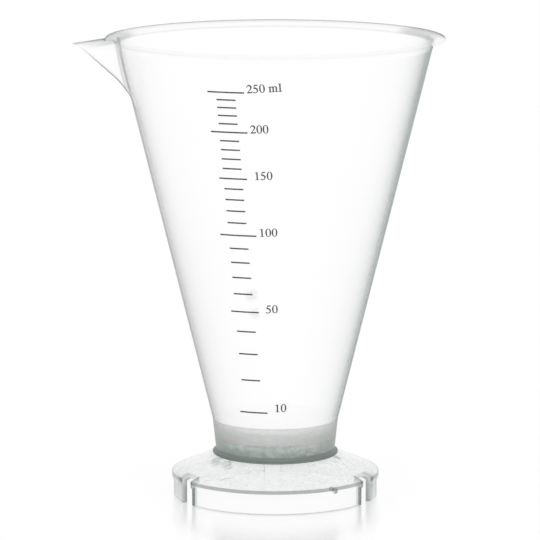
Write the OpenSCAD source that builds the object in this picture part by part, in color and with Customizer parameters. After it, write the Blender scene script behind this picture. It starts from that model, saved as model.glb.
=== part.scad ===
// Conical measuring cup with a pouring spout, a printed scale in millilitres and a separate round foot.
// The frame's origin is on the cup's axis, on the surface that the cup stands on.
// +Z is up the axis, and the spout points along -X.

/* [Cup] */
// Height of the rim's top face above the surface that the cup stands on
cup_h = 126; // [122:0.5:140]
// Outside diameter of the cone at the rim
cone_top_d = 86.4; // [82:0.2:100]
// Outside diameter where the cone runs into the neck
cone_low_d = 34.4; // [33.6:0.2:37]
// Outside diameter of the neck at its waist
neck_d = 32.6; // [31:0.2:33.2]
// Length of the neck, from its seat on the foot up to the cone
neck_h = 9.8; // [7:0.1:14]
// Thickness of the cone's wall, square to its face, and of the neck's
cup_wall = 1; // [0.7:0.05:1.6]
// Thickness of the cup's floor
cup_floor = 1.3; // [0.8:0.1:2]
// Depth of the socket under the floor, which sits over the foot's boss
socket_h = 1; // [0.6:0.1:1.8]
// Outside diameter of the collar round the neck's lower end
collar_d = 34.3; // [33.6:0.1:36]
// Height of the collar's straight edge
collar_h = 0.6; // [0.3:0.1:1.2]

/* [Rim] */
// How far the rim stands out from the wall
rim_reach = 2.8; // [1.8:0.1:4]
// Thickness of the rim at its outer edge
rim_edge_h = 0.7; // [0.4:0.1:1.2]
// Radius of the hollow curve between the rim's underside and the wall
rim_cove_r = 1.6; // [0.6:0.1:1.7]

/* [Spout] */
// How far the spout stands out from the wall, to where its two plates would meet in a point
spout_reach = 13.2; // [9:0.2:16]
// Depth of the keel's root on the wall below the rim's top face
spout_depth = 15.2; // [11:0.2:19]
// Angle of the spout's mouth, measured round the cup's axis at the rim
spout_mouth = 33; // [26:1:40]
// Thickness of the spout's two side plates
spout_wall = 1; // [0.7:0.05:1.4]

/* [Foot] */
// Diameter of the foot at its upper edge
foot_d = 56.8; // [50:0.2:66]
// Height of the foot's upper edge
foot_edge_h = 6.7; // [5:0.1:9]
// Height of the seat that the neck stands on
seat_h = 11.5; // [10:0.1:14]
// Thickness of the foot's sloping top plate
foot_plate = 1.2; // [0.9:0.05:1.8]
// Thickness of the foot's skirt
skirt_wall = 1; // [0.8:0.05:1.6]
// How much smaller the skirt's radius is at the bottom than at the upper edge
skirt_draft = 0.5; // [0.1:0.1:0.9]
// Height of the straight band under the foot's upper edge
edge_band_h = 1.6; // [0.8:0.1:2.4]
// Number of drain notches in the skirt
notch_count = 3; // [2:1:6]
// Width of a drain notch
notch_w = 4.4; // [2:0.2:7]
// Depth of a drain notch, inwards from the foot's edge
notch_depth = 2.8; // [1.8:0.1:4]
// Angle from the spout to the first notch, as the foot happens to be joined on
foot_turn = 15.5; // [0:0.5:119]

/* [Fit] */
// Gap round the foot's boss in the cup's socket
boss_gap = 0.15; // [0.05:0.01:0.3]
// Gap between the top of the boss and the cup's floor
boss_head_gap = 0.1; // [0.05:0.01:0.3]

/* [Scale] */
// Largest volume on the scale, in millilitres
scale_ml = 250; // [200:10:260]
// Volume between two neighbouring lines, in millilitres
step_ml = 10; // [10:10:20]
// Volume between two major lines, in millilitres
major_ml = 50; // [50:50:100]
// Volume between two of the longest lines, in millilitres
long_ml = 100; // [100:50:200]
// Angle from the spout to the middle of the lines
scale_turn = 55.2; // [30:0.2:150]
// Length of a minor line
minor_len = 5.3; // [3:0.1:8]
// Length of a major line
major_len = 7.8; // [5:0.1:12]
// Length of the lines at each full hundred and at the top of the scale
long_len = 10.2; // [6:0.1:16]
// Height of a line
line_h = 0.4; // [0.2:0.05:0.8]
// Thickness of the printed ink
ink_t = 0.06; // [0.03:0.01:0.12]

/* [Hidden] */
$fn = 96;

// Overshoot of every cut past the face that it opens
cut = 1;

// Heights on the axis
floor_under_z = seat_h + socket_h;
floor_z = floor_under_z + cup_floor;
cone_z = seat_h + neck_h;

// Radii outside and inside the cone, the neck and the foot
cone_top_r = cone_top_d/2;
cone_low_r = cone_low_d/2;
neck_r = neck_d/2;
collar_r = collar_d/2;
foot_r = foot_d/2;
rim_r = cone_top_r + rim_reach;
cone_slope = (cone_top_r - cone_low_r)/(cup_h - cone_z);
cone_lean = atan(cone_slope);
wall_across = cup_wall/cos(cone_lean);
cone_in_r = cone_low_r - wall_across;
neck_in_r = neck_r - cup_wall;
neck_slope = (cone_in_r - neck_in_r)/(cone_z - floor_z);
boss_r = neck_in_r - boss_gap;

// Radius of the cone's outer face at height z
function cone_r(z) = cone_low_r + cone_slope*(z - cone_z);

// Volume in cubic millimetres of a cone's frustum that widens from radius a to radius b at slope s
function frustum(a, b, s) = PI*(pow(b, 3) - pow(a, 3))/(3*s);

// Radius at the top of such a frustum that starts at radius a and holds v cubic millimetres
function filled_r(a, v, s) = pow(pow(a, 3) + 3*s*v/PI, 1/3);

// Height of the surface of v millilitres in the standing cup.
// The neck fills first, and the spout holds too little below the top line to matter.
neck_v = frustum(neck_in_r, cone_in_r, neck_slope);
function level_z(v) = v*1000 < neck_v
    ? floor_z + (filled_r(neck_in_r, v*1000, neck_slope) - neck_in_r)/neck_slope
    : cone_z + (filled_r(cone_in_r, v*1000 - neck_v, cone_slope) - cone_in_r)/cone_slope;

// Volumes that have a line, up to the top of the scale or to the underside of the rim
top_line_z = cup_h - rim_edge_h - rim_cove_r - line_h;
marks = [for (v = [step_ml : step_ml : scale_ml]) if (level_z(v) < top_line_z) v];
function is_major(v) = v == step_ml || v % major_ml == 0;
function is_long(v) = v % long_ml == 0 || v == scale_ml;

// The spout's tip, the root of its keel and one corner of its mouth, with the spout along +X
tip = [cone_top_r + spout_reach, 0, cup_h];
root = [cone_r(cup_h - spout_depth), 0, cup_h - spout_depth];
corner = [cone_top_r*cos(spout_mouth/2), cone_top_r*sin(spout_mouth/2), cup_h];
keel_len = norm(root - tip);
keel = (root - tip)/keel_len;
keel_turn = atan2(keel[0], keel[2]);
keel_up = [keel[2], 0, -keel[0]];
plate_turn = atan2((corner - tip)[1], (corner - tip)*keel_up);

// A wedge that widens upward from a sharp edge along the keel, moved in by the thickness t.
// Its length and depth carry it well into the open cup and above the rim.
module keel_wedge(t) {
    long = keel_len*1.5;
    deep = (spout_depth + spout_reach)*1.2;
    wide = deep*tan(plate_turn);
    translate(tip)
        rotate([0, keel_turn, 0])
            translate([t/sin(plate_turn), 0, 0])
                linear_extrude(height = long)
                    polygon([[0, 0], [deep, wide], [deep, -wide]]);
}

// The spout's outer form, cut off level with the rim
module spout_form() {
    block = cone_top_r + spout_reach + cut;
    intersection() {
        keel_wedge(0);
        translate([0, -block, cup_h - spout_depth*2])
            cube([block, block*2, spout_depth*2]);
    }
}

// Outer profile of the neck, with the collar and the hollow curve above it
module neck_profile() {
    waist_z = seat_h + collar_h + (collar_r - neck_r);
    polygon([[0, seat_h], [neck_r, seat_h], [neck_r, waist_z], [cone_low_r, cone_z], [0, cone_z]]);
    square_at(0, seat_h, collar_r, collar_h);
    difference() {
        square_at(0, seat_h, collar_r, waist_z - seat_h);
        translate([collar_r, waist_z]) circle(r = collar_r - neck_r);
    }
}

// Outer profile of the rim, a flat plate with a hollow curve under it that runs into the leaning wall
module rim_profile() {
    under_z = cup_h - rim_edge_h;
    cove = [cone_r(under_z - rim_cove_r) + rim_cove_r/cos(cone_lean), under_z - rim_cove_r];
    meet = cove + [-cos(cone_lean), sin(cone_lean)]*rim_cove_r;
    difference() {
        polygon([
            [meet[0] - cup_wall/2, meet[1]], meet, cove, [cove[0], under_z],
            [rim_r, under_z], [rim_r, cup_h], [cone_top_r - cup_wall/2, cup_h]
        ]);
        translate(cove) circle(r = rim_cove_r);
    }
}

// A rectangle with its low inner corner at radius r and height z
module square_at(r, z, w, h) {
    translate([r, z]) square([w, h]);
}

// The space inside the neck and the cone, open at the top
module cup_cavity() {
    top = cup_h + cut;
    rotate_extrude()
        polygon([
            [0, floor_z], [neck_in_r, floor_z], [cone_in_r, cone_z],
            [cone_r(top) - wall_across, top], [0, top]
        ]);
}

// The moulded cup: floor, neck, cone, rim and spout in one piece
module cup_body() {
    color([0.86, 0.89, 0.88], 0.5)
    difference() {
        union() {
            rotate_extrude() {
                neck_profile();
                polygon([[0, cone_z], [cone_low_r, cone_z], [cone_top_r, cup_h], [0, cup_h]]);
                rim_profile();
            }
            rotate([0, 0, 180]) spout_form();
        }
        cup_cavity();
        rotate([0, 0, 180]) keel_wedge(spout_wall);
        translate([0, 0, seat_h - cut]) cylinder(r = neck_in_r, h = socket_h + cut);
    }
}

// The foot: a sloping top plate with a boss for the cup's socket, over a notched skirt
module foot() {
    plate_slope = (seat_h - foot_edge_h)/(foot_r - collar_r);
    plate_down = foot_plate*sqrt(1 + plate_slope*plate_slope);
    skirt_in_r = foot_r - skirt_draft - skirt_wall;
    under_edge_z = foot_edge_h - plate_down + plate_slope*(foot_r - skirt_in_r);
    under_seat_r = collar_r - (plate_down - foot_plate)/plate_slope;
    color([0.9, 0.93, 0.92], 0.4)
    difference() {
        rotate_extrude()
            polygon([
                [0, seat_h - foot_plate], [under_seat_r, seat_h - foot_plate],
                [skirt_in_r, under_edge_z], [skirt_in_r, 0], [foot_r - skirt_draft, 0],
                [foot_r - skirt_draft, foot_edge_h - edge_band_h - skirt_draft],
                [foot_r, foot_edge_h - edge_band_h], [foot_r, foot_edge_h],
                [collar_r, seat_h], [boss_r, seat_h],
                [boss_r, floor_under_z - boss_head_gap], [0, floor_under_z - boss_head_gap]
            ]);
        for (i = [0 : notch_count - 1])
            rotate([0, 0, 180 + foot_turn + i*360/notch_count])
                translate([foot_r - notch_depth, -notch_w/2, -cut])
                    cube([notch_depth + cut, notch_w, seat_h + cut]);
    }
}

// One printed line round part of the cone, at the level of v millilitres
module graduation(v, len) {
    low = level_z(v) - line_h/2;
    high = level_z(v) + line_h/2;
    span = len/cone_r(level_z(v))*180/PI;
    rotate([0, 0, 180 + scale_turn - span/2])
        rotate_extrude(angle = span)
            polygon([
                [cone_r(low), low], [cone_r(low) + ink_t, low],
                [cone_r(high) + ink_t, high], [cone_r(high), high]
            ]);
}

// The lines beside the printed numbers
module major_graduations() {
    color([0.3, 0.31, 0.31])
    for (v = marks)
        if (is_major(v)) graduation(v, is_long(v) ? long_len : major_len);
}

// The lines between them
module minor_graduations() {
    color([0.3, 0.31, 0.31])
    for (v = marks)
        if (!is_major(v)) graduation(v, minor_len);
}

cup_body();
foot();
major_graduations();
minor_graduations();
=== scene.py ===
import math

import bmesh
import bpy
from mathutils import Matrix, Vector, noise


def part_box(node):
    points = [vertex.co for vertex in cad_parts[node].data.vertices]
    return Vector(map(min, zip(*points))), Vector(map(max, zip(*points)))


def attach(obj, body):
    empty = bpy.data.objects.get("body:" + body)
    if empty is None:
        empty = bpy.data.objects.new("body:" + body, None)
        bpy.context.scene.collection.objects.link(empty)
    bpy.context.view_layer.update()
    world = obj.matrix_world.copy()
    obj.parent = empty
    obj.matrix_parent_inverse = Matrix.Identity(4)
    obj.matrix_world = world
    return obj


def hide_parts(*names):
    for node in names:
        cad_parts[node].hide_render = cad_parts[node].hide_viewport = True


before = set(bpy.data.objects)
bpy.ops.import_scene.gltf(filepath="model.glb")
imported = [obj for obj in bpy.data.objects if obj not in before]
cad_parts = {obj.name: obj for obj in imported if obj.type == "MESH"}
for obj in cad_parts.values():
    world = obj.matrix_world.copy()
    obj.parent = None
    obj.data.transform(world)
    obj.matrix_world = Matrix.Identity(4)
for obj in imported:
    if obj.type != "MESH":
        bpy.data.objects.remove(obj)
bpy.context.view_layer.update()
mm = 0.001  # sizes below are in millimetres, objects are in metres
print("frame loaded")

# Directions round the axis, in degrees counter-clockwise seen from above, 0 along +X
spoutTurn = 180
photoTurn = -106  # where the photographer stands


def heading(degrees):
    # the level direction that lies at an angle round the axis
    turn = math.radians(degrees)
    return (math.cos(turn), math.sin(turn), 0)


def placed(name, data):
    # a new object in the scene from a mesh, a curve, a lamp or a camera
    made = bpy.data.objects.new(name, data)
    bpy.context.collection.objects.link(made)
    return made


def meshPiece(name, work):
    # a new object from a mesh that is being worked on
    mesh = bpy.data.meshes.new(name)
    work.to_mesh(mesh)
    work.free()
    return placed(name, mesh)


def finalMesh(piece):
    # a mesh of how a piece looks with its modifiers, or of a curve
    graph = bpy.context.evaluated_depsgraph_get()
    return bpy.data.meshes.new_from_object(piece.evaluated_get(graph))


# The moulded cup. The rim's height, its radius and the spout's reach come from the frame.
cup = {
    "wall": 1.0,  # thickness of the cone's wall
    "rimReach": 2.8,  # how far the rim stands out from the wall
    "rimEdge": 0.7,  # thickness of the rim at its edge
    "rimCove": 1.6,  # hollow curve under the rim
    "edgeRound": 0.3,  # rounding of the rim's edges
    "rimFlat": 1.6,  # width of the level face on the rim's top that light makes dark
    "coneLowR": 17.2,  # outside radius where the cone meets the neck
    "coneLowZ": 21.3,
    "neckR": 16.3,  # outside radius of the neck at its waist
    "collarR": 17.15,
    "collarEdge": 0.6,
    "collarHollowShade": 0.9,  # strength of the painted shade in the hollow above the collar
    "seatRound": 0.15,  # rounding of the collar's lower edge
    "floorZ": 13.8,  # top of the cup's floor
    "floorBend": 0.8,
    "spoutDepth": 15.2,  # from the rim down to the keel's root
    "spoutMouth": 33,  # angle of the mouth at the rim, in degrees
    "spoutWall": 1.0,
    "spoutSlant": 1.93,  # the spout's wall measured level at the keel, in walls
    "spoutFillet": (1.0, 5.2),  # between spout and wall, at the rim and at the keel's root
    "filletFrom": 2,  # how far below the rim it starts to widen
    "filletOver": 10,  # how far down it goes on widening
    "keelLift": 1.0,  # how far the drawn-out lip at the tip reaches past the keel's line
    "keelLip": 1.6,  # height of that lip
    "keelRound": 0.012,
    "keelLine": 0.55,  # half the width of the keel's dark line
    "keelShade": 1.5,
    "keelEnd": 1.05,  # where that line ends, in depths of the spout
    "keelFades": (2.2, 5),  # how fast it comes and goes on the way down
    "creaseLine": 0.45,
    "creaseShade": 0.9,  # strength of the painted shade in the crease between the spout and the wall
    "coarseRow": 4,  # distance between the rows of the mesh
    "fineRow": 0.5,
    "fineFrom": 104,  # above this height the rows lie close together
}
# How dark the rim's parts look where light crosses them
rimLips = {
    "root": 0.1,
    "cove": 0.42,
    "under": 0.06,
    "lowEdge": 0.25,
    "edge": 1.0,
    "top": 0.3,
    "mouthMore": 0.9,  # added beside the spout's mouth
    "mouthReach": 2.6,  # how far that goes, in degrees
}
rowsOut, rowsIn = (0, 5, 10, 14), (12, 8, 4, 0)  # radii of the mesh's rows on level faces
bondedFace = -1  # thickness of a face that is joined to the other piece, which light passes without a trace

lowCup, highCup = [[c / mm for c in corner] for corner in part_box("cup_body")]
rimZ = highCup[2]
rimR = highCup[1]
tipR = -lowCup[0]
seatZ = lowCup[2]
coneTopR = rimR - cup["rimReach"]
coneSlope = (coneTopR - cup["coneLowR"]) / (rimZ - cup["coneLowZ"])
lean = math.atan(coneSlope)


def coneR(z):
    return cup["coneLowR"] + coneSlope * (z - cup["coneLowZ"])


def coneInR(z):
    return coneR(z) - cup["wall"] / math.cos(lean)


def arc(cx, cz, r, start, end, steps):
    # points on a circle in the profile's plane, angles in degrees
    turns = [math.radians(start + (end - start) * i / steps) for i in range(steps + 1)]
    return [(cx + r * math.cos(t), cz + r * math.sin(t)) for t in turns]


def span(start, end, step):
    count = max(1, round(abs(end - start) / step))
    return [start + (end - start) * i / count for i in range(count + 1)]


def blendMax(a, b, k):
    # the larger of two radii, with a fillet about k wide where they cross
    gap = max(k - abs(a - b), 0) / k
    return max(a, b) + gap * gap * k / 4


# The spout seen from above is a V whose point moves in as it goes down
mouthHalf = math.radians(cup["spoutMouth"] / 2)
planHalf = math.atan2(coneTopR * math.sin(mouthHalf), tipR - coneTopR * math.cos(mouthHalf))
keelRun = tipR - coneR(rimZ - cup["spoutDepth"])
keelRise = cup["spoutDepth"] / keelRun


def spoutPoint(z, inside):
    down = rimZ - z
    out = tipR - cup["keelLift"] - down / keelRise
    if inside:
        return out + cup["keelLift"] - cup["spoutWall"] * cup["spoutSlant"]
    if down < cup["keelLip"]:
        out += cup["keelLift"] * (1 - down / cup["keelLip"]) ** 1.5
    return out


def spoutR(z, turn, inside):
    # distance from the axis to the V's side, looking along turn, measured from the keel
    point = spoutPoint(z, inside)
    side = math.sqrt(math.sin(turn) ** 2 + cup["keelRound"] ** 2) - cup["keelRound"]
    if math.cos(turn) < math.cos(2.4 * mouthHalf):  # beyond the mouth there is only the wall
        return 0
    return point / (math.cos(turn) + side / math.tan(planHalf))


def filletAt(z):
    # the fillet between the spout and the wall widens from the rim down
    small, wide = cup["spoutFillet"]
    share = min(max((rimZ - cup["filletFrom"] - z) / cup["filletOver"], 0), 1)
    return small + (wide - small) * share


class Ring:
    # One row of a turned surface: radius, height, the face it lies on, how far that is drawn in, how thick
    # it looks, whether it lies inside a hollow, and how dark it looks on the rim
    def __init__(self, r, z, face="plain", inset=0.0, thick=0.0, within=0.0, lip=0.0):
        self.r, self.z, self.face, self.inset, self.thick, self.lip = r, z, face, inset, thick, lip
        self.within = 1.0 if face == "inner" else within

    def radius(self, turn):
        if self.face == "plain":
            return self.r
        inside = self.face == "inner"
        bulge = blendMax(self.r, spoutR(self.z, turn, inside), filletAt(self.z))
        return bulge + self.inset if inside else bulge - self.inset


def collarRings():
    # Flat underneath: the hidden joint of the solids would only add surfaces to look through
    collarR, neckR, lowZ = cup["collarR"], cup["neckR"], cup["coneLowZ"]
    rings = [Ring(r, seatZ, thick=bondedFace) for r in (*rowsOut, collarR - cup["seatRound"])]
    rings += [Ring(collarR, seatZ + up, thick=1) for up in (cup["seatRound"], cup["collarEdge"])]
    cove = collarR - neckR
    coveZ = seatZ + cup["collarEdge"] + cove
    rings += [Ring(r, z, thick=cup["collarHollowShade"]) for r, z in arc(collarR, coveZ, cove, 270, 180, 8)[1:]]
    for z in span(coveZ, lowZ, cup["fineRow"])[1:-1]:
        up = (z - coveZ) / (lowZ - coveZ)
        rings.append(Ring(neckR + (cup["coneLowR"] - neckR) * up, z))
    return rings


def outerRings():
    # outside of the cone, the curve under the rim, the rim's edge and its top
    soft, cove, fineZ = cup["edgeRound"], cup["rimCove"], cup["fineFrom"]
    underZ = rimZ - cup["rimEdge"]
    coveLow = underZ - cove
    coveR = coneR(coveLow) + cove / math.cos(lean)
    meetZ = coveLow + cove * math.sin(lean)
    rows = span(cup["coneLowZ"], fineZ, cup["coarseRow"])
    rows += span(fineZ, meetZ - 0.3, cup["fineRow"])[1:]
    rings = [Ring(coneR(z), z, "outer") for z in rows]
    rings.append(Ring(coneR(meetZ), meetZ, "outer", lip=rimLips["root"]))
    for i, (r, z) in enumerate(arc(coveR, coveLow, cove, 180 - math.degrees(lean), 90, 8)[1:]):
        rings.append(Ring(r, z, "outer", lip=rimLips["under" if i else "cove"]))
    rings.append(Ring(rimR - soft, underZ, "outer", lip=rimLips["root"]))
    for r, z in arc(rimR - soft, underZ + soft, soft, -90, 0, 5)[1:]:
        rings.append(Ring(rimR, z, "outer", rimR - r, lip=rimLips["lowEdge"]))
    for r, z in arc(rimR - soft, rimZ - soft, soft, 0, 90, 5):
        rings.append(Ring(rimR, z, "outer", rimR - r, lip=rimLips["edge"]))
    rings.append(Ring(coneInR(rimZ) + cup["rimFlat"], rimZ, "outer", lip=rimLips["top"]))
    return rings


def innerRings():
    # inside of the rim, the cone, the neck and the floor
    soft, bend, fineZ = cup["edgeRound"], cup["floorBend"], cup["fineFrom"]
    lowZ, floorZ = cup["coneLowZ"], cup["floorZ"]
    neckIn, lowIn, topIn = cup["neckR"] - cup["wall"], coneInR(lowZ), coneInR(rimZ)
    rings = []
    for r, z in arc(topIn + soft, rimZ - soft, soft, 90, 180, 5):
        rings.append(Ring(topIn, z, "inner", r - topIn))
    rows = span(rimZ - cup["fineRow"], fineZ, cup["fineRow"]) + span(fineZ, lowZ, cup["coarseRow"])[1:]
    rings += [Ring(coneInR(z), z, "inner") for z in rows]
    for z in span(lowZ, floorZ + bend, 0.6)[1:]:
        up = (z - floorZ) / (lowZ - floorZ)
        rings.append(Ring(neckIn + (lowIn - neckIn) * up, z, within=1))
    for r, z in arc(neckIn - bend, floorZ + bend, bend, 0, -90, 6)[1:]:
        rings.append(Ring(r, z, within=1))
    return rings + [Ring(r, floorZ, within=1) for r in rowsIn]


def lipLook(ring, turn):
    # how dark a point of the rim looks where light crosses its edge, darkest beside the spout's mouth
    past = (abs(turn) - mouthHalf) / math.radians(rimLips["mouthReach"])
    if past < 0 and ring.z < rimZ - cup["rimEdge"]:
        return 0
    return ring.lip * (1 + rimLips["mouthMore"] * math.exp(-past) if past > 0 else 1)


def keelLook(ring, turn):
    # the keel is thick plastic and gets a painted shade line, darkest half way down
    if ring.face != "outer" or abs(turn) > mouthHalf:
        return 0
    down = (rimZ - ring.z) / cup["spoutDepth"]
    if not 0 < down < cup["keelEnd"]:
        return 0
    comes, goes = cup["keelFades"]
    fade = min(1, down * comes) * min(1, (cup["keelEnd"] - down) * goes)
    apart = ring.radius(turn) * math.sin(turn) / cup["keelLine"]
    return cup["keelShade"] * math.exp(-apart * apart) * fade


def creaseLook(ring, turn):
    # the crease where the spout's side meets the wall gets a painted shade line, which shows on the far side
    if ring.face == "plain" or not 0 < rimZ - ring.z < cup["spoutDepth"]:
        return 0
    apart = (spoutR(ring.z, turn, ring.face == "inner") - ring.r) / cup["creaseLine"]
    return cup["creaseShade"] * math.exp(-apart * apart)


def turnedMesh(name, rings, turns):
    # a closed surface of revolution; turns are angles from the spout's direction, in radians
    work = bmesh.new()
    thick = work.verts.layers.float.new("thick")
    within = work.verts.layers.float.new("within")
    lip = work.verts.layers.float.new("lip")
    rows = []
    for ring in rings:
        if ring.r == 0:
            vert = work.verts.new((0, 0, ring.z * mm))
            vert[thick], vert[within] = ring.thick, ring.within
            rows.append([vert] * len(turns))
            continue
        row = []
        for turn in turns:
            turn = (turn + math.pi) % (2 * math.pi) - math.pi
            r = ring.radius(turn) * mm
            way = math.radians(spoutTurn) + turn
            vert = work.verts.new((r * math.cos(way), r * math.sin(way), ring.z * mm))
            keel = keelLook(ring, turn)
            vert[thick], vert[within] = ring.thick + keel, ring.within
            vert[lip] = lipLook(ring, turn) + keel + creaseLook(ring, turn)
            row.append(vert)
        rows.append(row)
    for low, high in zip(rows, rows[1:]):
        for i in range(len(turns)):
            j = (i + 1) % len(turns)
            corners = []
            for vert in (low[i], low[j], high[j], high[i]):
                if vert not in corners:
                    corners.append(vert)
            if len(corners) > 2:
                work.faces.new(corners)
    bmesh.ops.recalc_face_normals(work, faces=work.faces)
    for face in work.faces:
        face.smooth = True
    made = meshPiece(name, work)
    made.data.set_sharp_from_angle(angle=math.radians(32))
    return made


def cupTurns():
    # close together round the spout, wider apart elsewhere
    near = math.radians(24)
    fine = span(-near, near, math.radians(0.3))
    coarse = span(near, 2 * math.pi - near, math.radians(0.9))[1:-1]
    return fine + coarse


cupPiece = turnedMesh("moulded_cup", collarRings() + outerRings() + innerRings(), cupTurns())
print("cup modelled")

# The foot
foot = {
    "edgeZ": 6.7,  # height of its upper edge
    "bandZ": 5.1,  # lower end of the straight band under that edge
    "draft": 0.5,
    "plate": 1.2,
    "skirt": 1.0,
    "notchWide": 4.4,
    "notchDeep": 2.8,
    "notchCount": 3,
    "notchTurn": 15.5,  # from the spout to the first notch, in degrees
    "edgeRound": 0.15,
    "edgeBend": 66,  # how far the upper edge's rounding turns, in degrees
    "skirtRows": (0.5, 1.5, 3),  # heights of the mesh's rows on the skirt
    "darkBand": 0.85,  # height of the dark line along the upper edge
    "darkFade": 0.15,  # how far below that line the dark fades out
    "darkFoot": 0.7,  # how dark the lower edge looks
    "darkPlate": 0.15,  # how dark the middle of the plate looks
    "darkSide": 1.0,  # how dark a notch's side walls look
    "darkInner": 0.7,  # how dark its inner wall looks
}
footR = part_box("foot")[1][0] / mm  # no notch cuts the ring at +X


def footRings():
    soft = foot["edgeRound"]
    edgeZ = foot["edgeZ"]
    slope = (seatZ - edgeZ) / (footR - cup["collarR"])
    plateDown = foot["plate"] * math.hypot(1, slope)
    skirtIn = footR - foot["draft"] - foot["skirt"]
    underEdge = edgeZ - plateDown + slope * (footR - skirtIn)
    underSeatR = cup["collarR"] - (plateDown - foot["plate"]) / slope
    lowR = footR - foot["draft"]
    rings = [Ring(r, seatZ, thick=bondedFace) for r in (*rowsOut, cup["collarR"])]
    for r in span(cup["collarR"] + 0.6, footR - soft - 0.05, 1):
        rings.append(Ring(r, seatZ - slope * (r - cup["collarR"])))
    # the edge of the plate, which looks dark from in front as a sheet of glass does
    bend, darkZ = foot["edgeBend"], edgeZ - foot["darkBand"]
    rings += [Ring(r, z, thick=1) for r, z in arc(footR - soft, edgeZ - soft, soft, bend, 0, 3)]
    rings += [Ring(footR, darkZ, thick=1), Ring(footR, darkZ - foot["darkFade"])]
    rings += [Ring(footR, foot["bandZ"]), Ring(lowR, foot["bandZ"] - foot["draft"])]
    rings += [Ring(lowR, z) for z in reversed(foot["skirtRows"])]
    rings += [Ring(r, z, thick=foot["darkFoot"]) for r, z in ((lowR, soft), (lowR - soft, 0))]
    rings += [Ring(r, 0) for r in (lowR - 2 * soft, skirtIn + soft)]
    rings += [Ring(skirtIn, z, within=1) for z in (soft, *foot["skirtRows"][1:], underEdge)]
    for r in span(skirtIn, underSeatR, 1)[1:]:
        rings.append(Ring(r, underEdge + slope * (skirtIn - r), within=1))
    under = seatZ - foot["plate"]
    return rings + [Ring(r, under, thick=foot["darkPlate"], within=1) for r in rowsIn]


def notchTurn(index):
    # where a notch points, in degrees
    return spoutTurn + foot["notchTurn"] + index * 360 / foot["notchCount"]


def notchCutter(index):
    # a block that stands where one drain notch goes
    far = foot["notchDeep"] + 2
    work = bmesh.new()
    bmesh.ops.create_cube(work, size=1)
    bmesh.ops.scale(work, vec=Vector((far, foot["notchWide"], 24)) * mm, verts=work.verts)
    middle = (footR - foot["notchDeep"] + far / 2) * mm
    bmesh.ops.translate(work, vec=(middle, 0, 0), verts=work.verts)
    spin = Matrix.Rotation(math.radians(notchTurn(index)), 3, "Z")
    bmesh.ops.rotate(work, matrix=spin, verts=work.verts)
    return meshPiece("notch", work)


def applyModifiers(piece):
    shaped = finalMesh(piece)
    piece.modifiers.clear()
    piece.data = shaped


def markCutFaces(piece):
    # a value on each face that a notch cuts, which says how dark it looks
    cut = piece.data.attributes.new("cut", "FLOAT", "FACE")
    for face in piece.data.polygons:
        middle = face.center / mm
        if middle.to_2d().length < footR - foot["notchDeep"] - 0.1 or abs(face.normal.z) > 0.5:
            continue
        for index in range(foot["notchCount"]):
            out = Vector(heading(notchTurn(index)))
            along = middle.dot(out)
            across = abs(middle.x * out.y - middle.y * out.x) if along > 0 else 99
            if abs(across - foot["notchWide"] / 2) < 0.05 and abs(face.normal.dot(out)) < 0.5:
                cut.data[face.index].value = foot["darkSide"]
            elif abs(along - footR + foot["notchDeep"]) < 0.05 and across < foot["notchWide"] / 2:
                cut.data[face.index].value = foot["darkInner"]


footTurns = span(0, 2 * math.pi, math.radians(1.25))[:-1]
footPiece = turnedMesh("clear_foot", footRings(), footTurns)
for index in range(foot["notchCount"]):
    cutter = notchCutter(index)
    cut = footPiece.modifiers.new("notch", "BOOLEAN")
    cut.operation = "DIFFERENCE"
    cut.solver = "EXACT"
    cut.object = cutter
    applyModifiers(footPiece)
    bpy.data.objects.remove(cutter)
markCutFaces(footPiece)

# The gate mark: two small lumps on the foot's edge where the plastic was broken from the mould's channel
gate = {
    "lumps": [(106.2, 6.4, 0.6), (108.6, 5.65, 0.75)],  # turn from the spout, height, size
    "rough": 0.35,
    "roughCells": 2.1,  # bumps across a lump
    "dark": 0.9,
    "darkSpread": 0.8,
    "darkCells": 1.7,
}


def gateMark():
    work = bmesh.new()
    dark = work.verts.layers.float.new("thick")
    for turn, z, size in gate["lumps"]:
        first = len(work.verts)
        bmesh.ops.create_icosphere(work, subdivisions=3, radius=size)
        work.verts.ensure_lookup_table()
        spot = Vector(heading(spoutTurn + turn)) * footR + Vector((0, 0, z))
        for vert in work.verts[first:]:
            lump = 1 + gate["rough"] * noise.noise(vert.co * gate["roughCells"] / size + spot)
            vert.co = (spot + vert.co * lump) * mm
            patch = noise.noise(vert.co * gate["darkCells"] / (size * mm) + spot)
            vert[dark] = gate["dark"] + gate["darkSpread"] * patch
    for face in work.faces:
        face.smooth = True
    return meshPiece("gate_mark", work)


gatePiece = gateMark()
print("foot modelled")

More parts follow.
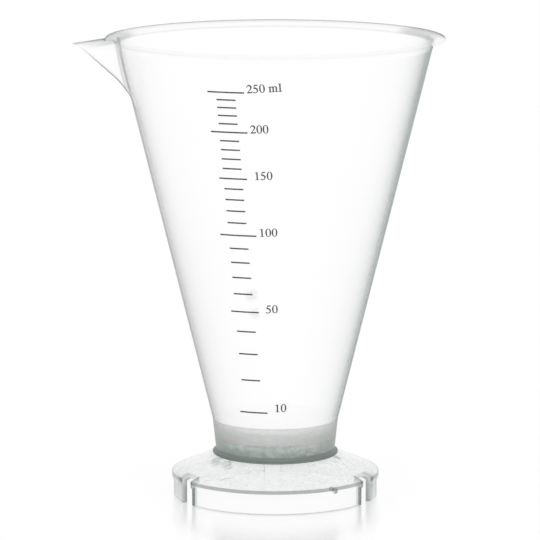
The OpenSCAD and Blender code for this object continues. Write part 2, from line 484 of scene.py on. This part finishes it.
# The printed numbers: outlines in ems, smooth but where a third value marks a corner
glyphs = {
    "0": [
        [(0.25, 0.676), (0.035, 0.331), (0.25, -0.014), (0.465, 0.331)],
        [(0.25, 0.648), (0.37, 0.331), (0.25, 0.014), (0.13, 0.331)],
    ],
    "1": [[
        (0.118, 0, 1), (0.394, 0, 1), (0.394, 0.02, 1), (0.31, 0.032), (0.299, 0.08, 1), (0.299, 0.676, 1),
        (0.285, 0.676, 1), (0.111, 0.592, 1), (0.114, 0.572, 1), (0.19, 0.59), (0.213, 0.55, 1),
        (0.213, 0.08, 1), (0.2, 0.032), (0.118, 0.02, 1),
    ]],
    "2": [[
        (0.03, 0, 1), (0.424, 0, 1), (0.475, 0.14, 1), (0.46, 0.142, 1), (0.425, 0.09), (0.37, 0.076, 1),
        (0.128, 0.076, 1), (0.25, 0.2), (0.37, 0.335), (0.43, 0.49), (0.38, 0.622), (0.25, 0.676),
        (0.13, 0.645), (0.031, 0.477, 1), (0.05, 0.472, 1), (0.115, 0.57), (0.205, 0.604), (0.3, 0.565),
        (0.34, 0.455), (0.285, 0.305), (0.17, 0.155), (0.03, 0.016, 1),
    ]],
    "5": [[
        (0.18, 0.666, 1), (0.412, 0.666, 1), (0.38, 0.588, 1), (0.178, 0.588, 1), (0.143, 0.452, 1),
        (0.27, 0.42), (0.375, 0.345), (0.414, 0.22), (0.375, 0.09), (0.27, 0.01), (0.15, -0.014),
        (0.06, 0.005), (0.034, 0.04), (0.06, 0.068), (0.12, 0.05), (0.2, 0.028), (0.28, 0.055),
        (0.33, 0.13), (0.33, 0.225), (0.285, 0.305), (0.2, 0.352), (0.075, 0.37, 1),
    ]],
    "m": [[
        (0.016, 0, 1), (0.236, 0, 1), (0.236, 0.02, 1), (0.168, 0.034, 1), (0.168, 0.37, 1), (0.215, 0.4),
        (0.262, 0.408), (0.312, 0.385), (0.332, 0.31, 1), (0.332, 0.034, 1), (0.272, 0.02, 1),
        (0.272, 0, 1), (0.478, 0, 1), (0.478, 0.02, 1), (0.414, 0.034, 1), (0.414, 0.362, 1), (0.46, 0.398),
        (0.508, 0.408), (0.56, 0.385), (0.58, 0.31, 1), (0.58, 0.034, 1), (0.52, 0.02, 1), (0.52, 0, 1),
        (0.742, 0, 1), (0.742, 0.02, 1), (0.662, 0.034, 1), (0.662, 0.31, 1), (0.645, 0.405), (0.6, 0.448),
        (0.545, 0.46), (0.475, 0.437), (0.404, 0.38, 1), (0.37, 0.438), (0.3, 0.46), (0.23, 0.437),
        (0.166, 0.388, 1), (0.166, 0.46, 1), (0.156, 0.46, 1), (0.019, 0.418, 1), (0.019, 0.4, 1),
        (0.086, 0.394, 1), (0.086, 0.034, 1), (0.016, 0.02, 1),
    ]],
    "l": [[
        (0.02, 0, 1), (0.258, 0, 1), (0.258, 0.02, 1), (0.182, 0.034, 1), (0.182, 0.683, 1),
        (0.172, 0.683, 1), (0.019, 0.644, 1), (0.019, 0.626, 1), (0.098, 0.62, 1), (0.098, 0.034, 1),
        (0.02, 0.02, 1),
    ]],
}
advance = {"m": 0.778, "l": 0.278, " ": 0.25}  # the others are half an em wide


def outlineMesh(name, contours):
    # a flat letter with its holes, filled from smooth closed outlines
    curve = bpy.data.curves.new(name, "CURVE")
    curve.dimensions = "2D"
    curve.fill_mode = "BOTH"
    curve.resolution_u = 6
    curve.extrude = 0.01
    curve.offset = printing["weight"]
    for contour in contours:
        line = curve.splines.new("BEZIER")
        line.bezier_points.add(len(contour) - 1)
        line.use_cyclic_u = True
        for point, (x, y, *corner) in zip(line.bezier_points, contour):
            point.co = (x, y, 0)
            point.handle_left_type = point.handle_right_type = "VECTOR" if corner else "AUTO"
    shape = placed(name, curve)
    mesh = finalMesh(shape)
    bpy.data.objects.remove(shape)
    return mesh


printing = {
    "em": 3.3,  # size of the type
    "weight": 0.016,  # how much the ink spread beyond the type's outline, in ems
    "start": 5.8,  # from the middle of the lines to the first figure
    "rise": {"10": 0.35, "250 ml": -0.05},  # from a line up to the foot of its number
    "otherRise": -0.1,
    "ink": 0.06,  # thickness of the ink, as the lines' own
    "scaleTurn": 55.2,  # from the spout to the middle of the lines, in degrees
    "lineGap": 0.8,  # heights further apart than this belong to two lines
    "tilt": {"250 ml": 3.7},  # the numbers stand a little crooked, in degrees
    "otherTilt": 2.0,
}
majorVolumes = [10, 50, 100, 150, 200, 250]


def lineHeights(node):
    # middle heights of the printed lines, lowest first, read from the frame's own solids
    heights = sorted({round(v.co.z / mm, 2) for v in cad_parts[node].data.vertices})
    groups = [[heights[0]]]
    for z in heights[1:]:
        if z - groups[-1][-1] > printing["lineGap"]:
            groups.append([])
        groups[-1].append(z)
    return [(group[0] + group[-1]) / 2 for group in groups]


def printedNumber(text, lineZ):
    # the letters of one number, laid on the cone beside its line
    baseZ = lineZ + printing["rise"].get(text, printing["otherRise"])
    tilt = math.radians(printing["tilt"].get(text, printing["otherTilt"]))
    left = math.radians(spoutTurn + printing["scaleTurn"]) + printing["start"] / coneR(baseZ)
    work = bmesh.new()
    pen = 0
    for letter in text:
        if letter in glyphs:
            first = len(work.verts)
            glyph = outlineMesh("glyph", glyphs[letter])
            work.from_mesh(glyph)
            work.verts.ensure_lookup_table()
            for vert in work.verts[first:]:
                vert.co.x += pen
        pen += advance.get(letter, 0.5)
    bmesh.ops.remove_doubles(work, verts=work.verts, dist=1e-5)
    for vert in work.verts:
        u = vert.co.x * printing["em"]
        v = vert.co.y * printing["em"]
        u, v = u * math.cos(tilt) - v * math.sin(tilt), u * math.sin(tilt) + v * math.cos(tilt)
        z = baseZ + v * math.cos(lean)
        lift = printing["ink"] if vert.co.z > 0 else 0
        way = left + u / coneR(baseZ)
        r = (coneR(z) + lift) * mm
        vert.co = (r * math.cos(way), r * math.sin(way), z * mm)
    bmesh.ops.recalc_face_normals(work, faces=work.faces)
    return meshPiece("number_" + text.replace(" ", "_"), work)


numbers = []
for volume, lineZ in zip(majorVolumes, lineHeights("major_graduations")):
    text = str(volume) + (" ml" if volume == majorVolumes[-1] else "")
    numbers.append(printedNumber(text, lineZ))
print("numbers modelled")


class Wire:
    # a shader socket that takes part in sums
    def __init__(self, finish, socket):
        self.finish, self.socket = finish, socket

    def math(self, operation, *values):
        return self.finish.node("ShaderNodeMath", {"operation": operation}, dict(enumerate(values)))

    def __add__(self, other):
        return self.math("ADD", self, other)

    __radd__ = __add__

    def __sub__(self, other):
        return self.math("SUBTRACT", self, other)

    def __rsub__(self, other):
        return self.math("SUBTRACT", other, self)

    def __mul__(self, other):
        return self.math("MULTIPLY", self, other)

    __rmul__ = __mul__

    def __truediv__(self, other):
        return self.math("DIVIDE", self, other)

    def __rtruediv__(self, other):
        return self.math("DIVIDE", other, self)

    def __pow__(self, other):
        return self.math("POWER", self, other)

    def __rpow__(self, other):
        return self.math("POWER", other, self)

    def __abs__(self):
        return self.math("ABSOLUTE", self)

    def clamped(self):
        return self.finish.node("ShaderNodeClamp", {}, {"Value": self})

    def step(self, low, high):
        # 0 below low, 1 above high, smooth between; low may be the larger of the two
        sockets = {"Value": self, "From Min": low, "From Max": high, "To Min": 0.0, "To Max": 1.0}
        return self.finish.node("ShaderNodeMapRange", {"interpolation_type": "SMOOTHSTEP"}, sockets)

    def band(self, start, full, fading, end):
        # 1 from full to fading, 0 below start and above end
        return self.step(start, full) * self.step(end, fading)


# Noise patterns: cells in a millimetre along x, y and z, then detail and roughness
grains = {
    "cloud": ((0.12, 0.12, 0.05), 3.0, 0.5),
    "surface": ((1.4, 1.4, 0.9), 4.0, 0.6),
    "streak": ((0.06, 0.06, 3.2), 4.0, 0.65),
    "mottle": ((0.5, 0.5, 1.1), 3.0, 0.6),
    "ragged": ((1.1, 1.1, 1.1), 4.0, 0.7),
    "broken": ((0.9, 0.9, 0.9), 5.0, 0.8),
    "scuff": ((0.35, 0.35, 0.35), 5.0, 0.75),
    "worn": ((0.09, 0.09, 0.09), 2.0, 0.5),
    "wobble": ((0.6, 0.6, 0.6), 2.0, 0.5),
    "ink": ((2.5, 2.5, 5.0), 3.0, 0.7),
}

smear = {
    "full": 0.3,  # share of its size within which it is whole
    "broken": (0.4, 0.58),  # noise below these leaves holes in it
    "holes": 0.3,  # how much of it shows in a hole
}


class Finish:
    # one material and the nodes in it
    def __init__(self, name, world=None):
        owner = world or bpy.data.materials.new(name)
        owner.use_nodes = True
        self.owner = owner
        self.tree = owner.node_tree
        self.tree.nodes.clear()

    def node(self, kind, settings=None, sockets=None, out=0):
        made = self.tree.nodes.new(kind)
        for key, value in (settings or {}).items():
            if key == "stops":
                ends = made.color_ramp.elements
                for end, (place, colour) in zip(ends, (value[0], value[-1])):
                    end.position, end.color = place, colour
                for place, colour in value[1:-1]:
                    ends.new(place).color = colour
            else:
                setattr(made, key, value)
        for key, value in (sockets or {}).items():
            entry = made.inputs[key]
            if isinstance(value, Wire):
                self.tree.links.new(value.socket, entry)
            else:
                entry.default_value = value
        return Wire(self, made.outputs[out]) if made.outputs else None

    def vector(self, operation, *values, out=0):
        return self.node("ShaderNodeVectorMath", {"operation": operation}, dict(enumerate(values)), out)

    def dot(self, a, b):
        return self.vector("DOT_PRODUCT", a, b, out="Value")

    def mixed(self, factor, a, b):
        # colour a where factor is 0, colour b where it is 1; the first sockets of a Mix node are for numbers
        return self.node("ShaderNodeMix", {"data_type": "RGBA"}, {0: factor, 6: a, 7: b}, out=2)

    def attribute(self, name):
        return self.node("ShaderNodeAttribute", {"attribute_name": name}, out="Fac")

    def place(self, stretch=(1, 1, 1)):
        # where on the object, in millimetres, stretched along each axis
        spot = self.node("ShaderNodeTexCoord", out="Object")
        return self.vector("MULTIPLY", spot, [s / mm for s in stretch])

    def height(self):
        return self.node("ShaderNodeSeparateXYZ", {}, {0: self.place()}, out="Z")

    def axes(self, degrees):
        # how far a point lies along a level direction, and how far to the left of it
        spot = self.place()
        return self.dot(spot, heading(degrees)), self.dot(spot, heading(degrees + 90))

    def grain(self, name):
        # values round 0.5
        stretch, detail, rough = grains[name]
        sockets = {"Vector": self.place(stretch), "Scale": 1.0, "Detail": detail, "Roughness": rough}
        return self.node("ShaderNodeTexNoise", {"noise_dimensions": "3D"}, sockets)

    def colourAt(self, pairs):
        # a colour for each height, from pairs of a height and a colour
        low, high = pairs[0][0], pairs[-1][0]
        stops = [((z - low) / (high - low), colour) for z, colour in pairs]
        share = (self.height() - low) / (high - low)
        return self.node("ShaderNodeValToRGB", {"stops": stops}, {"Fac": share})

    def near(self, turn, r, z, size):
        # 1 at a point of the object, 0 further from it than its size, with a ragged edge
        out = heading(spoutTurn + turn)
        apart = self.vector("DISTANCE", self.place(), (out[0] * r, out[1] * r, z), out="Value")
        ragged = (self.grain("ragged") - 0.5) * size
        broken = self.grain("broken").step(*smear["broken"]) * (1 - smear["holes"]) + smear["holes"]
        return (apart + ragged).step(size, size * smear["full"]) * broken

    def seen(self):
        # 1 for what looks at the white background: the eye, a mirror or clear plastic
        ways = ("Is Camera Ray", "Is Glossy Ray", "Is Transmission Ray")
        return sum(self.node("ShaderNodeLightPath", out=way) for way in ways).clamped()

    def close(self, surface, output="ShaderNodeOutputMaterial"):
        self.node(output, {}, {"Surface": surface})
        return self.owner


def rgb(r, g, b):
    return (r, g, b, 1)


dust = {
    "each": 0.16,  # cells in a millimetre
    "size": 0.035,  # of a speck, in cells
    "share": (0.7, 0.72),  # the cells above this hold a speck
}
# Which way a face looks, as the z of its normal: where it starts to count as each kind, and where it does
slants = {
    "level": (0.6, 0.95),
    "under": (-0.35, -0.6),
    "onTop": (0.3, 0.7),
}


class Plastic(Finish):
    # Clear plastic: almost nothing face on, grey where a wall turns away from the eye. It adds up what
    # light meets on its way through: edge for turned walls, deep for painted shade in thick places,
    # creases and hollows and for stains and strokes, haze for milk and dust and for painted shade on the neck
    # and round the collar.
    def __init__(self, name, look):
        super().__init__(name)
        geometry = "ShaderNodeNewGeometry"
        self.look, self.milk, self.edgeColour = look, look["milk"], look["edgeColour"]
        self.facing = self.node("ShaderNodeLayerWeight", {}, {"Blend": 0.5}, out="Facing")
        self.upright = self.node("ShaderNodeSeparateXYZ", {}, {0: self.node(geometry, out="Normal")}, out="Z")
        self.fromInside = self.node(geometry, out="Backfacing")
        self.within = self.attribute("within")
        self.outside = 1 - self.within
        self.nearWall = self.within * self.fromInside + self.outside * (1 - self.fromInside)
        self.farWall = 1 - self.nearWall
        self.up = self.height()
        self.flat = self.vector("MULTIPLY", self.place(), (1, 1, 0))
        self.cloud = self.grain("cloud") - 0.5

        outer = (self.facing ** look["edgePower"]) * look["edge"] * self.outside
        inner = (self.facing ** look["withinPower"]) * look["edgeWithin"] * self.within
        self.edge = outer + inner
        thick = self.attribute("thick")
        self.bare = thick.math("MINIMUM", thick, 0.0) + 1  # 0 on a bonded face
        self.deep = thick.math("MAXIMUM", thick, 0.0) * (1 - self.facing * self.facing * look["thickFade"])
        self.deep = self.deep * look["thick"] * (self.nearWall * (1 - look["farThick"]) + look["farThick"])
        self.haze = look["haze"] + self.cloud * look["cloud"] + self.specks() * look["dust"]
        for turn, r, z, size, strength in look["stains"]:
            self.deep = self.deep + self.near(turn, r, z, size) * strength * self.nearWall

    def toward(self, degrees):
        # 1 on the side of the object that faces this way, -1 on the other side
        return self.dot(self.vector("NORMALIZE", self.flat), heading(degrees))

    def specks(self):
        # dust that settled here and there
        cells = {"Vector": self.place((dust["each"],) * 3), "Scale": 1.0}
        colour = self.node("ShaderNodeTexVoronoi", {}, cells, out="Color")
        chosen = self.node("ShaderNodeSeparateColor", {}, {0: colour}).step(*dust["share"])
        apart = self.node("ShaderNodeTexVoronoi", {}, cells, out="Distance")
        return apart.step(dust["size"], dust["size"] * 0.4) * chosen

    def weighWall(self, wall):
        # The wall's turned edge gets painted shade, darker and greener on one side as if less light fell
        # there. Low on the cone a wide soft darkening takes over from the narrow edge.
        sideShade = self.toward(wall["shadedTurn"])
        self.edgeColour = self.mixed((sideShade * 0.5 + 0.5).clamped(), self.edgeColour, wall["shadedColour"])
        low = self.up.step(wall["softTop"], wall["softLow"])
        soft = (self.facing ** wall["softPower"]) * (wall["soft"] + low * wall["softMore"]) * self.outside
        self.edge = self.edge * (1 + sideShade * wall["sideShade"]) * (1 - low * wall["edgeFade"]) + soft

    def clearFaces(self):
        # level faces, undersides, far walls and bonded faces show less of the edge, or none
        look = self.look
        level = abs(self.upright).step(*slants["level"])
        under = self.upright.step(*slants["under"])
        self.edge = self.edge * (1 - level) * (1 - under * look["underClear"])
        self.edge = self.edge * (1 - self.farWall * look["farClear"]) * self.bare

    def addRim(self, rim):
        # the rim's wide edge is clear but for two stretches of painted shade, and dark where light crosses
        # its lip
        wall, flange = self.up.step(*rim["wallZ"]), self.up.step(*rim["flangeZ"])
        lip = self.attribute("lip") * (rim["nearLip"] + self.farWall * (rim["farLip"] - rim["nearLip"]))
        sides = sum(self.toward(spoutTurn + turn).step(low, high) for turn, low, high in rim["sides"])
        self.edge = self.edge * (1 - wall * (1 - sides) * rim["clear"])
        self.deep = self.deep + lip + flange * sides * rim["sideFill"]
        self.haze = self.haze + flange * rim["haze"]

    def addNeck(self, neck):
        # the neck is frosted: hazy, mottled below a line, streaked above; its grey, thicker and darker
        # towards the bottom, is painted shade where the cup's floor and the foot hold back the light
        top, mottleTop = neck["top"], neck["mottleTop"]
        zone = self.up.step(*(top + d for d in neck["zone"])) * self.outside * self.bare
        level = self.colourAt([(z, rgb(a, a, a)) for z, a in neck["haze"]])
        streak = (self.grain("streak") - 0.5) * neck["streak"]
        mottle = self.grain("mottle") - 0.5
        mottledPart = self.up.step(mottleTop, mottleTop - neck["mottleEdge"])
        thin = level + streak + mottle * mottledPart * neck["mottle"] + self.facing * neck["edge"]
        self.haze = self.haze + zone * (self.nearWall * (1 - neck["far"]) + neck["far"]) * thin
        self.milk = self.mixed(zone, self.milk, self.colourAt(neck["shadeTint"]))
        topLine = self.up.band(*(top + d for d in neck["topBand"])) * neck["topLine"]
        lowLine = self.up.band(*(mottleTop + d for d in neck["lowBand"])) * neck["lowLine"]
        lines = topLine + lowLine * mottle.step(*neck["lowBroken"])
        self.deep = self.deep + lines * self.nearWall * self.outside

    def addNotches(self, notches):
        # cut faces get painted shade where seen from the side, and so does the wall beside them
        cut = self.attribute("cut")
        side = cut.step(foot["darkInner"] + 0.05, foot["darkSide"] - 0.05)
        dark = notches["cut"] * (1 - self.fromInside * (1 - side) * notches["backFade"])
        dark = dark + self.fromInside * side * notches["within"]
        self.deep = self.deep + cut * dark * (1 - self.up.step(*notches["highZ"]) * notches["highFade"])
        half, inner = foot["notchWide"] / 2, footR - foot["notchDeep"]
        for index, (before, after) in enumerate(notches["besideWide"]):
            along, across = self.axes(notchTurn(index))
            beside = across.step(half + after, half) * across.step(-half - before, -half)
            beside = beside * abs(across).step(half + 0.01, half + 0.08)
            beside = beside * along.step(*(inner + d for d in notches["besideFrom"])) * self.nearWall
            self.deep = self.deep + beside * notches["beside"]

    def addWear(self, wear):
        # the foot's top: fine scratches in three directions, scuffs, haze, painted shade round the collar,
        # single strokes
        apart = self.vector("LENGTH", self.flat, out="Value")
        onTop = self.upright.step(*slants["onTop"]) * (1 - self.fromInside)
        onTop = onTop * apart.step(cup["collarR"] - 0.1, cup["collarR"] + 0.1)
        fine = sum(self.scratches(wear, turn) for turn in wear["scratchTurns"]).clamped()
        worn = self.grain("worn").step(*wear["worn"]) * (1 - wear["unworn"]) + wear["unworn"]
        scuffs = (self.grain("scuff") - 0.5) * wear["scuff"]
        # painted shade on the foot's top, strongest at the collar
        root = apart.step(wear["collarShadeWide"], cup["collarR"]) * wear["collarShade"]
        self.haze = self.haze + (fine * worn * wear["scratch"] + scuffs + wear["haze"] + root) * onTop
        for turn, r, way, length, wide, strength in wear["strokes"]:
            middle = Vector(heading(spoutTurn + turn)) * r
            along, across = self.axes(way)
            along = along - middle.dot(Vector(heading(way)))
            across = across - middle.dot(Vector(heading(way + 90)))
            across = across + (self.grain("wobble") - 0.5) * wear["wobble"]
            stroke = abs(along).step(length / 2, length / 4) * abs(across).step(wide, wide * 0.3)
            self.deep = self.deep + stroke * strength * onTop

    def scratches(self, wear, turn):
        # long thin marks along one direction, given in radians
        along, across = self.axes(math.degrees(turn))
        long, wide = wear["scratchCells"]
        grid = self.node("ShaderNodeCombineXYZ", {}, {0: along * long, 1: across * wide, 2: turn * 10})
        sockets = {"Vector": grid, "Scale": 1.0, "Detail": 3.0, "Roughness": 0.6}
        return self.node("ShaderNodeTexNoise", {}, sockets).step(*wear["scratchCut"])

    def surface(self):
        look, principled, mix = self.look, "ShaderNodeBsdfPrincipled", "ShaderNodeMixShader"
        bump = self.node("ShaderNodeBump", {}, {
            "Strength": look["bump"], "Distance": look["bumpDeep"] * mm, "Height": self.grain("surface"),
        })
        rough = look["roughness"] + self.cloud * look["roughSpread"]
        shared = {"Roughness": rough, "IOR": 1.49, "Normal": bump}
        milky = self.node(principled, {}, {**shared, "Base Color": self.milk, "Alpha": self.haze.clamped()})
        shared["Specular IOR Level"] = look["edgeGloss"]
        turned = self.node(principled, {}, {**shared, "Base Color": self.edgeColour})
        dark = self.node(principled, {}, {**shared, "Base Color": look["deepColour"]})
        seen = self.node(mix, {}, {0: self.edge.clamped(), 1: milky, 2: turned})
        return self.close(self.node(mix, {}, {0: self.deep.clamped(), 1: seen, 2: dark}))


# A stain is given as turn from the spout, radius, height, size and strength
cupLook = {
    "milk": rgb(0.85, 0.87, 0.86),
    "haze": 0.01,
    "cloud": 0.02,
    "edge": 1.75,
    "edgePower": 6.0,
    "edgeWithin": 0.3,
    "withinPower": 8.5,
    "edgeColour": rgb(0.32, 0.33, 0.315),
    "edgeGloss": 0.05,
    "deepColour": rgb(0.155, 0.185, 0.17),
    "underClear": 0.7,
    "farClear": 0.0,
    "thick": 0.75,
    "thickFade": 0.0,
    "farThick": 0.02,
    "roughness": 0.35,
    "roughSpread": 0.2,
    "dust": 0.3,
    "stains": [(60.0, 26.5, 59.5, 2.6, 0.13), (61.0, 25.0, 54.5, 2.2, 0.12), (150.0, 30.6, 75, 3.0, 0.06)],
    "bump": 0.25,
    "bumpDeep": 0.04,
}
wallLook = {
    "soft": 0.045,
    "softMore": 0.3,  # added low on the cone
    "softTop": 115,
    "softLow": 15,
    "softPower": 1.8,
    "edgeFade": 0.25,  # how much the dark edge fades low on the cone
    # painted shade: the wall's edge is darker on the side toward this turn
    "shadedTurn": -16,
    "sideShade": 0.36,
    "shadedColour": rgb(0.35, 0.4, 0.38),
}
rimLowZ = rimZ - cup["rimEdge"] - cup["rimCove"] - 0.2  # just below the curve under the rim
rimLook = {
    "wallZ": (rimLowZ - 0.4, rimLowZ),  # where the wall's edge turns into the rim's
    "flangeZ": (rimLowZ + 0.6, rimLowZ + 1.2),  # where the rim's wide edge starts and is full
    "nearLip": 0.03,
    "farLip": 0.5,
    "sides": [(-176, 0.945, 0.985), (-22, 0.93, 0.99)],  # stretches of painted shade: turn, and how far they reach
    "sideFill": 0.19,
    "haze": 0.05,
    "clear": 0.92,
}
neckLook = {
    "top": cup["coneLowZ"],
    # painted shade: the haze grows and its tint darkens towards the bottom
    "haze": [  # height and strength
        (12.6, 0.91), (14.0, 0.88), (15.2, 0.82), (16.4, 0.77),
        (17.8, 0.72), (19.4, 0.6), (20.6, 0.46), (21.3, 0.45),
    ],
    "shadeTint": [
        (12.6, rgb(0.24, 0.28, 0.26)), (14.0, rgb(0.26, 0.31, 0.285)), (15.8, rgb(0.32, 0.37, 0.345)),
        (16.5, rgb(0.36, 0.37, 0.36)), (19.0, rgb(0.38, 0.39, 0.38)), (21.3, rgb(0.42, 0.44, 0.43)),
    ],
    "edge": 0.28,
    "far": 0.05,  # how much of the haze shows on the far wall
    "streak": 0.55,
    "mottle": 0.7,
    "zone": (0.2, -0.3),  # where the haze starts and is full, from the neck's top
    "topLine": 0.2,
    "topBand": (-0.45, -0.1, 0, 0.35),  # start, full, fading and end of that line, from the neck's top
    "mottleTop": 16.3,
    "mottleEdge": 0.3,
    "lowLine": 0.2,
    "lowBand": (-0.5, -0.2, 0, 0.25),  # the same for the lower line, from its own height
    "lowBroken": (-0.2, 0.1),  # mottle below these leaves gaps in it
}
footLook = {
    "milk": rgb(0.6, 0.63, 0.61),
    "haze": 0.01,
    "cloud": 0.01,
    "edge": 0.9,
    "edgePower": 3.0,
    "edgeWithin": 0.5,
    "withinPower": 4.0,
    "edgeColour": rgb(0.4, 0.45, 0.43),
    "edgeGloss": 0.05,
    "deepColour": rgb(0.15, 0.18, 0.165),
    "underClear": 1.0,
    "farClear": 0.5,
    "thick": 0.63,
    "thickFade": 0.75,
    "farThick": 0.0,
    "roughness": 0.2,
    "roughSpread": 0.2,
    "dust": 0.2,
    "stains": [  # smears beside the collar
        (12.0, 18.3, 10.9, 2.8, 0.45), (29.0, 18.5, 11.0, 2.4, 0.5), (144.5, 17.9, 11.2, 2.1, 0.55),
    ],
    "bump": 0.2,
    "bumpDeep": 0.03,
}
notchLook = {
    "cut": 0.55,
    "within": 0.28,  # added where a cut face is seen through the plastic
    "backFade": 0.85,  # how much the inner walls fade when seen through the plastic
    "highFade": 0.45,  # how much a cut face fades near the foot's upper edge
    "highZ": (4.6, 5.4),
    "beside": 0.5,
    "besideFrom": (-0.3, 0.2),  # from the inner wall outward
    "besideWide": [(3.2, 1.2), (1.5, 4.0), (1.5, 1.5)],  # each notch's corners of painted shade, to its two sides
}
wearLook = {
    "scratch": 0.5,
    "scratchTurns": (0.4, 1.5, 2.6),
    "scratchCells": (0.33, 1.9),  # cells of their noise in a millimetre, along and across
    "scratchCut": (0.56, 0.74),  # noise above these is a scratch
    "worn": (0.35, 0.6),  # noise above these is worn ground
    "unworn": 0.3,  # how much the scratches show elsewhere
    "scuff": 0.4,
    "haze": 0.26,
    # painted shade round the collar: out to this radius, and its strength
    "collarShadeWide": 19.5,
    "collarShade": 0.17,
    "wobble": 0.8,  # how far a stroke strays from a straight line
    "strokes": [  # turn from the spout, radius, direction, length, half width, strength
        (40.6, 24.5, -19, 4.6, 0.3, 0.3), (30.7, 26.1, -22, 4.2, 0.25, 0.22),
        (125.6, 20.9, -61, 4.6, 0.3, 0.16), (128.5, 21.4, -58, 3.8, 0.25, 0.14),
        (52.0, 21.5, -30, 3.0, 0.22, 0.14), (97.0, 22.0, 20, 3.5, 0.22, 0.1),
        (139.0, 20.5, -50, 4.0, 0.32, 0.2), (147.0, 21.6, -38, 3.6, 0.3, 0.18),
        (151.0, 19.6, -66, 3.0, 0.3, 0.18),
    ],
}
inkLook = {
    "thin": rgb(0.13, 0.13, 0.135),
    "full": rgb(0.045, 0.045, 0.05),
    "cover": (0.38, 0.5),  # noise above these is a full coat
    "thinAlpha": 0.75,
    "thinRough": 0.5,
    "fullRough": 0.2,  # added by a full coat
    "bump": 0.3,
    "bumpDeep": 0.02,
}


def cupPlastic():
    made = Plastic("cup_plastic", cupLook)
    made.weighWall(wallLook)
    made.clearFaces()
    made.addRim(rimLook)
    made.addNeck(neckLook)
    return made.surface()


def footPlastic():
    made = Plastic("foot_plastic", footLook)
    made.clearFaces()
    made.addNotches(notchLook)
    made.addWear(wearLook)
    return made.surface()


def scaleInk():
    # printed ink, a little thin in places
    made = Finish("scale_ink")
    full = made.grain("ink").step(*inkLook["cover"])
    raised = {"Strength": inkLook["bump"], "Distance": inkLook["bumpDeep"] * mm, "Height": full}
    return made.close(made.node("ShaderNodeBsdfPrincipled", {}, {
        "Base Color": made.mixed(full, inkLook["thin"], inkLook["full"]),
        "Roughness": inkLook["thinRough"] + full * inkLook["fullRough"],
        "Alpha": inkLook["thinAlpha"] + full * (1 - inkLook["thinAlpha"]),
        "Normal": made.node("ShaderNodeBump", {}, raised),
    }))


milkyPlastic, clearPlastic, printedInk = cupPlastic(), footPlastic(), scaleInk()
cupPiece.data.materials.append(milkyPlastic)
for piece in (footPiece, gatePiece):
    piece.data.materials.append(clearPlastic)
for piece in numbers:
    piece.data.materials.append(printedInk)
for node in ("major_graduations", "minor_graduations"):
    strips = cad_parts[node]
    strips.data.materials.clear()
    strips.data.materials.append(printedInk)
print("finishes made")

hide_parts("cup_body")
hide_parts("foot")
for piece in [cupPiece, footPiece, gatePiece] + numbers:
    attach(piece, "root")

# The studio: a wide white floor, an even white room and one soft lamp
studio = {
    "floorHalf": 6.0,  # metres
    "floorShine": 0.4,  # share of the floor's light that mirrors what stands on it
    "floorRough": 0.2,
    "floorGlow": 0.6,  # share of plain white in the rest
    "room": 0.82,
    "sun": 0.8,
    "sunSoft": 40,  # how wide the lamp looks, in degrees
    "sunTurn": -100,  # where it stands round the axis
    "sunHigh": 55,
}


def makeFloor():
    half = studio["floorHalf"]
    corners = [(-half, -half, 0), (half, -half, 0), (half, half, 0), (-half, half, 0)]
    mesh = bpy.data.meshes.new("floor")
    mesh.from_pydata(corners, [], [(0, 1, 2, 3)])
    floor = placed("floor", mesh)
    made = Finish("white_table")
    mix, white = "ShaderNodeMixShader", rgb(1, 1, 1)
    plain = made.node("ShaderNodeBsdfDiffuse", {}, {"Color": white})
    bright = made.node("ShaderNodeEmission", {}, {"Color": white, "Strength": 1.0})
    shine = made.node("ShaderNodeBsdfGlossy", {}, {"Color": white, "Roughness": studio["floorRough"]})
    even = made.node(mix, {}, {0: made.seen() * studio["floorGlow"], 1: plain, 2: bright})
    mesh.materials.append(made.close(made.node(mix, {}, {0: studio["floorShine"], 1: even, 2: shine})))


def makeRoom():
    world = bpy.data.worlds.new("room")
    bpy.context.scene.world = world
    made = Finish("room", world)
    strength = studio["room"] + made.seen() * (1 - studio["room"])
    light = made.node("ShaderNodeBackground", {}, {"Color": rgb(1, 1, 1), "Strength": strength})
    made.close(light, "ShaderNodeOutputWorld")


def makeLamp():
    data = bpy.data.lights.new("softbox", "SUN")
    data.energy = studio["sun"]
    data.angle = math.radians(studio["sunSoft"])
    lamp = placed("softbox", data)
    high = math.radians(studio["sunHigh"])
    toLamp = Vector(heading(studio["sunTurn"])) * math.cos(high) + Vector((0, 0, math.sin(high)))
    lamp.location = toLamp
    lamp.rotation_euler = toLamp.to_track_quat("Z", "Y").to_euler()


photo = {
    "away": 1083.5,  # from the cup's axis, level
    "height": 245.1,
    "down": 9.585,  # how far the camera looks down, in degrees
    "lens": 268.5,
    "aside": 1.47,  # how far left of the axis it aims
}


def makeCamera():
    data = bpy.data.cameras.new("photographer")
    data.sensor_width = 36
    data.lens = photo["lens"]
    data.clip_start = 0.01
    camera = placed("photographer", data)
    away = Vector(heading(photoTurn))
    right = Vector((-away.y, away.x, 0))
    camera.location = (away * photo["away"] + Vector((0, 0, photo["height"]))) * mm
    ahead = -away * photo["away"] - right * photo["aside"]
    ahead.z = -math.tan(math.radians(photo["down"])) * photo["away"]
    camera.rotation_euler = ahead.to_track_quat("-Z", "Y").to_euler()
    bpy.context.scene.camera = camera


makeFloor()
makeRoom()
makeLamp()
makeCamera()
bpy.context.scene.view_settings.view_transform = "Standard"
print("studio set")
